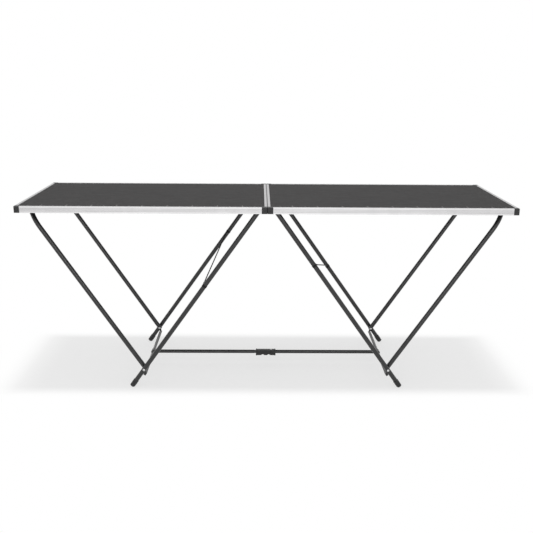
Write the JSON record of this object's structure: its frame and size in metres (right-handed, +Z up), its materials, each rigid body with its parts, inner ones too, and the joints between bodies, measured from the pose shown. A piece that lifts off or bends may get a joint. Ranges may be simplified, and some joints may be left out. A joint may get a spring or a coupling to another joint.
{
  "type": "folding pasting table",
  "caption": "Long folding pasting table: two dark boards in aluminium edging, hinged in the middle, on slanted black tube legs with struts and a plug-in stretcher.",
  "frame": {"origin": "on the floor under the middle of the table top", "axes": "+X along the table to the right, +Y to the rear edge, +Z up"},
  "size_m": [2, 0.6, 0.78],
  "materials": {
    "board": "dark laminated fibreboard",
    "aluminium_edge": "satin extrusion",
    "black_plastic": "moulded",
    "black_tube": "powder coat",
    "zinc_steel": "zinc plated",
    "wire": "black wire"
  },
  "bodies": {
    "top": {"front_rail_left": "aluminium_edge", "rear_rail_left": "aluminium_edge", "end_rail_left": "aluminium_edge", "centre_rail_left": "aluminium_edge", "board_left": "board", "corner_caps_left": "black_plastic", "centre_caps_left": "black_plastic", "strut_saddles_left": "black_plastic", "leg_pins_left": "zinc_steel", "leg_brackets_left": "zinc_steel", "hinge_leaves_left": "zinc_steel", "front_rail_right": "aluminium_edge", "rear_rail_right": "aluminium_edge", "end_rail_right": "aluminium_edge", "centre_rail_right": "aluminium_edge", "board_right": "board", "corner_caps_right": "black_plastic", "centre_caps_right": "black_plastic", "strut_saddles_right": "black_plastic", "leg_pins_right": "zinc_steel", "leg_brackets_right": "zinc_steel", "hinge_leaves_right": "zinc_steel", "hinge_pins": "zinc_steel"},
    "left_legs": {"front_leg_left": "black_tube", "rear_leg_left": "black_tube", "foot_caps_left": "black_plastic", "leg_rivets_left": "zinc_steel", "crossbar_left": "black_tube", "stay_wire_left": "wire", "stay_bands_left": "zinc_steel"},
    "left_struts": {"front_strut_left": "black_tube", "rear_strut_left": "black_tube", "strut_cross_tube_left": "black_tube", "strut_rivets_left": "zinc_steel"},
    "left_stretcher": {"stretcher_eye_left": "black_tube", "stretcher_tube_left": "black_tube"},
    "right_legs": {"front_leg_right": "black_tube", "rear_leg_right": "black_tube", "foot_caps_right": "black_plastic", "leg_rivets_right": "zinc_steel", "crossbar_right": "black_tube", "stay_wire_right": "wire", "stay_bands_right": "zinc_steel"},
    "right_struts": {"front_strut_right": "black_tube", "rear_strut_right": "black_tube", "strut_cross_tube_right": "black_tube", "strut_rivets_right": "zinc_steel"},
    "right_stretcher": {"stretcher_eye_right": "black_tube", "stretcher_tube_right": "black_tube", "coupling_sleeve": "black_plastic"}
  },
  "joints": [
    {"name": "left_leg_fold", "type": "hinge", "parent": "top", "child": "left_legs", "pos_m": [-0.031, 0, 0.764], "axis": [0, 1, 0], "range_deg": [0, 54.35]},
    {"name": "left_strut_fold", "type": "hinge", "parent": "top", "child": "left_struts", "pos_m": [-0.97, 0, 0.765], "axis": [0, -1, 0], "range_deg": [0, 54.41]},
    {"name": "left_stretcher_fold", "type": "hinge", "parent": "left_legs", "child": "left_stretcher", "pos_m": [-0.51461, 0, 0.05137], "axis": [0, -1, 0], "range_deg": [0, 54.36]},
    {"name": "right_leg_fold", "type": "hinge", "parent": "top", "child": "right_legs", "pos_m": [0.031, 0, 0.764], "axis": [0, -1, 0], "range_deg": [0, 54.36]},
    {"name": "right_strut_fold", "type": "hinge", "parent": "top", "child": "right_struts", "pos_m": [0.97, 0, 0.765], "axis": [0, 1, 0], "range_deg": [0, 54.41]},
    {"name": "right_stretcher_fold", "type": "hinge", "parent": "right_legs", "child": "right_stretcher", "pos_m": [0.51461, 0, 0.05137], "axis": [0, 1, 0], "range_deg": [0, 54.36]}
  ],
  "couplings": [
    {"joint": "left_strut_fold", "follows": "left_leg_fold", "ratio": 1.001},
    {"joint": "left_stretcher_fold", "follows": "left_leg_fold", "ratio": 1},
    {"joint": "right_leg_fold", "follows": "left_leg_fold", "ratio": 1},
    {"joint": "right_strut_fold", "follows": "left_leg_fold", "ratio": 1.001},
    {"joint": "right_stretcher_fold", "follows": "left_leg_fold", "ratio": 1}
  ]
}
